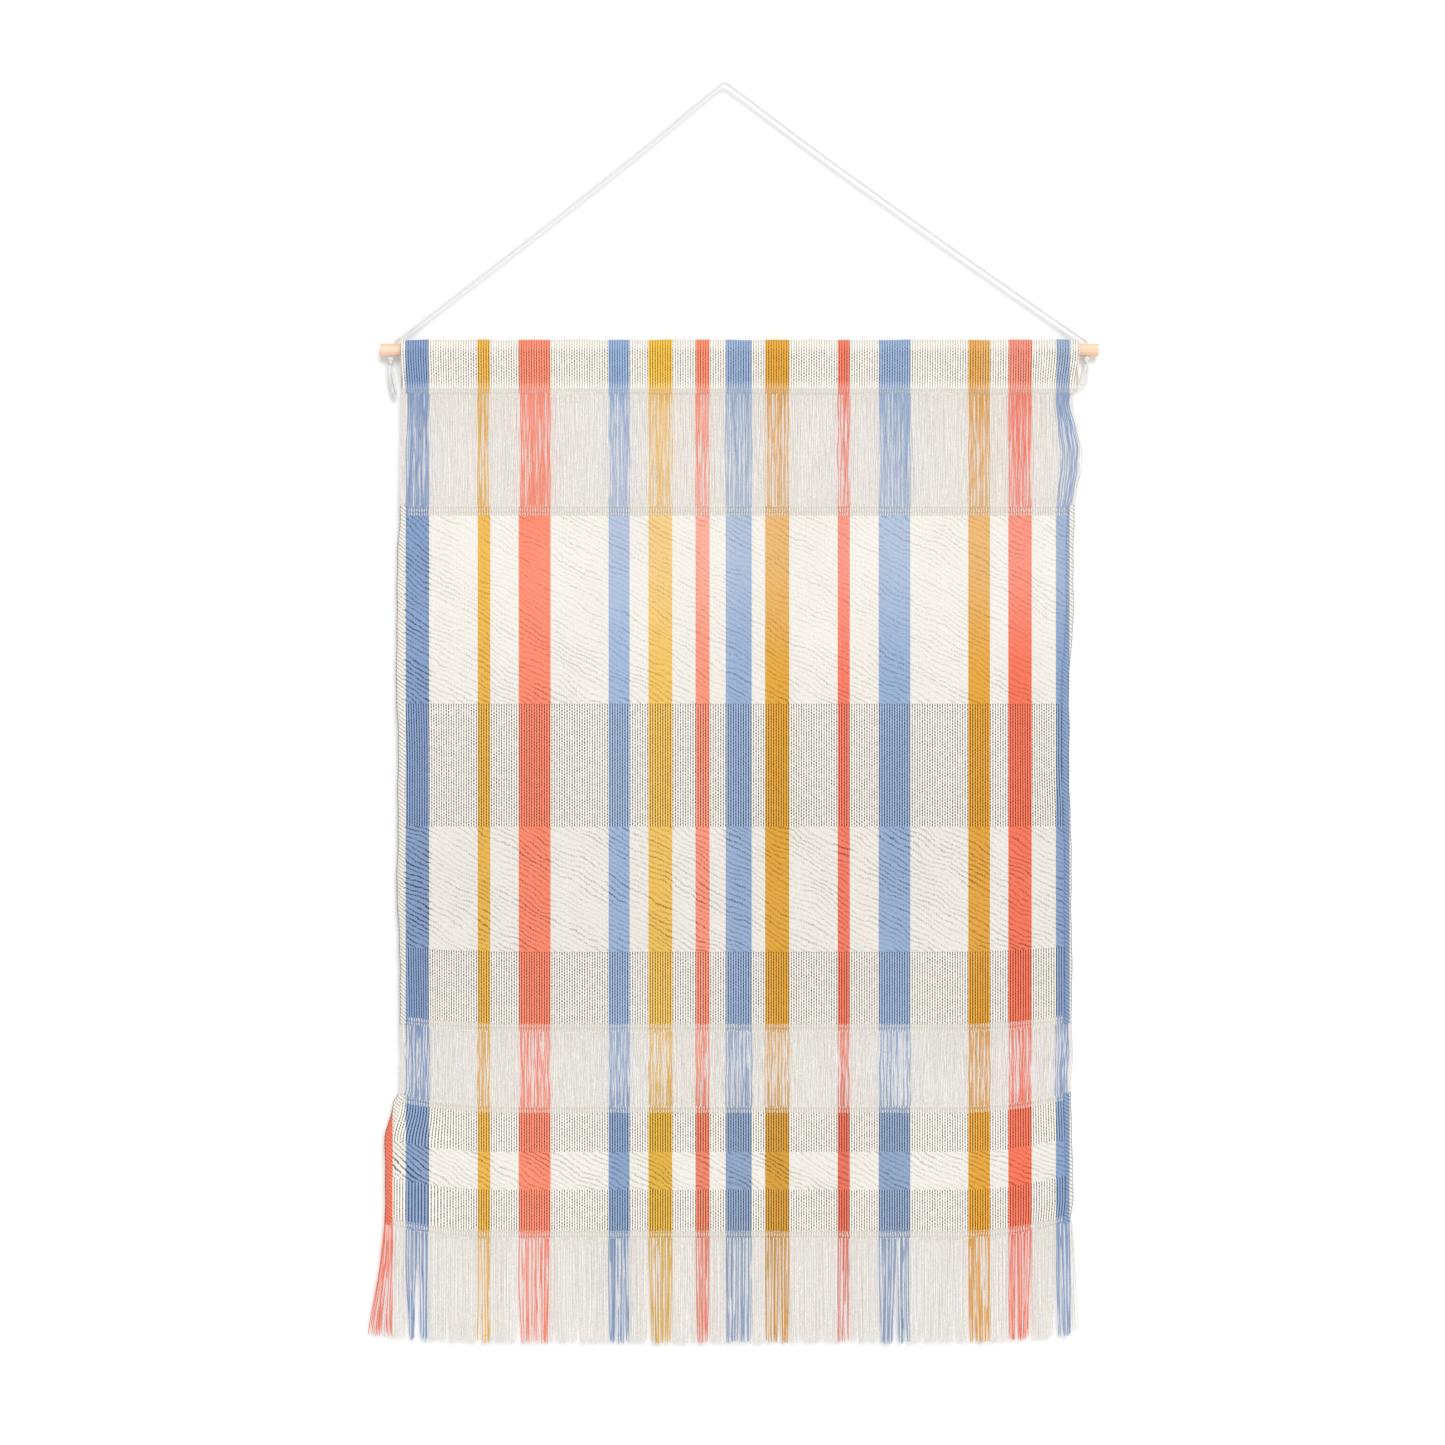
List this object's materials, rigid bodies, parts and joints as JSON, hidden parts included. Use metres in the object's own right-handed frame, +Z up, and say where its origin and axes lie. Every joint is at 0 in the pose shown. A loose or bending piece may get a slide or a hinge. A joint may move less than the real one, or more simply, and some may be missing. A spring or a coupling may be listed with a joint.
{
  "type": "tapestry wall hanging",
  "caption": "Striped woven cotton panel with open-warp bands and a fringed hem, on a round wooden dowel in a sewn pocket, hung from a twisted cord.",
  "frame": {"origin": "where the cord rests on its nail, at the inside of the bend at the top", "axes": "+Z up, +X to the right seen from the front, +Y towards the wall"},
  "size_m": [0.8624, 0.021, 1.4954],
  "materials": {
    "wood": "bare sanded pale hardwood",
    "cord": "matt twisted white cotton",
    "cream": "matt woven cotton, off-white ground with dyed vertical stripes",
    "warp": "matt loose off-white cotton yarn",
    "thread": "matt off-white sewing and overcast thread",
    "blue": "matt cotton yarn dyed soft blue",
    "yellow": "matt cotton yarn dyed ochre yellow",
    "coral": "matt cotton yarn dyed coral red"
  },
  "bodies": {
    "hanger": {"hanging_cord": "cord"},
    "rod": {"dowel": "wood", "left_knot": "cord", "right_knot": "cord"},
    "left_cord_end": {"left_tail": "cord"},
    "right_cord_end": {"right_tail": "cord"},
    "pocket": {"rod_pocket": "cream", "pocket_seam": "thread", "upper_warp_top": "warp"},
    "middle_panel": {"upper_warp_bottom": "warp", "upper_header_row": "cream", "upper_twill_band": "cream", "upper_rib_band": "cream", "middle_twill_band": "cream", "middle_rib_band": "cream", "middle_lock_row": "cream", "left_selvedge_middle": "thread", "right_selvedge_middle": "thread", "lower_warp_top": "warp"},
    "bottom_panel": {"lower_warp_bottom": "warp", "lower_header_row": "cream", "lower_rib_band": "cream", "lower_twill_band": "cream", "hem_rib_band": "cream", "hem_lock_row": "cream", "left_selvedge_bottom": "thread", "right_selvedge_bottom": "thread"},
    "fringe": {"fringe_01_coral": "coral", "fringe_02_cream": "warp", "fringe_03_blue": "blue", "fringe_04_cream": "warp", "fringe_05_yellow": "yellow", "fringe_06_cream": "warp", "fringe_07_coral": "coral", "fringe_08_cream": "warp", "fringe_09_blue": "blue", "fringe_10_cream": "warp", "fringe_11_yellow": "yellow", "fringe_12_cream": "warp", "fringe_13_coral": "coral", "fringe_14_cream": "warp", "fringe_15_blue": "blue", "fringe_16_cream": "warp", "fringe_17_yellow": "yellow", "fringe_18_cream": "warp", "fringe_19_coral": "coral", "fringe_20_cream": "warp", "fringe_21_blue": "blue", "fringe_22_cream": "warp", "fringe_23_yellow": "yellow", "fringe_24_cream": "warp", "fringe_25_coral": "coral", "fringe_26_cream": "warp", "fringe_27_blue": "blue", "fringe_28_cream": "warp"}
  },
  "joints": [
    {"name": "cord_tilt", "type": "hinge", "parent": "hanger", "child": "rod", "pos_m": [0, 0, -0.304], "axis": [-1, 0, 0], "range_deg": [0, 45]},
    {"name": "left_cord_end_swing", "type": "hinge", "parent": "rod", "child": "left_cord_end", "pos_m": [-0.396, 0, -0.3315], "axis": [-1, 0, 0], "range_deg": [0, 60]},
    {"name": "right_cord_end_swing", "type": "hinge", "parent": "rod", "child": "right_cord_end", "pos_m": [0.428, 0, -0.3304], "axis": [-1, 0, 0], "range_deg": [0, 60]},
    {"name": "cloth_swing", "type": "hinge", "parent": "rod", "child": "pocket", "pos_m": [0, 0, -0.3143], "axis": [-1, 0, 0], "range_deg": [0, 45]},
    {"name": "upper_fold", "type": "hinge", "parent": "pocket", "child": "middle_panel", "pos_m": [0, -0.0012, -0.43205], "axis": [-1, 0, 0], "range_deg": [0, 90]},
    {"name": "lower_fold", "type": "hinge", "parent": "middle_panel", "child": "bottom_panel", "pos_m": [0, -0.0012, -1.16505], "axis": [-1, 0, 0], "range_deg": [0, 90]},
    {"name": "fringe_swing", "type": "hinge", "parent": "bottom_panel", "child": "fringe", "pos_m": [0, -0.0012, -1.3658], "axis": [-1, 0, 0], "range_deg": [0, 60]}
  ]
}
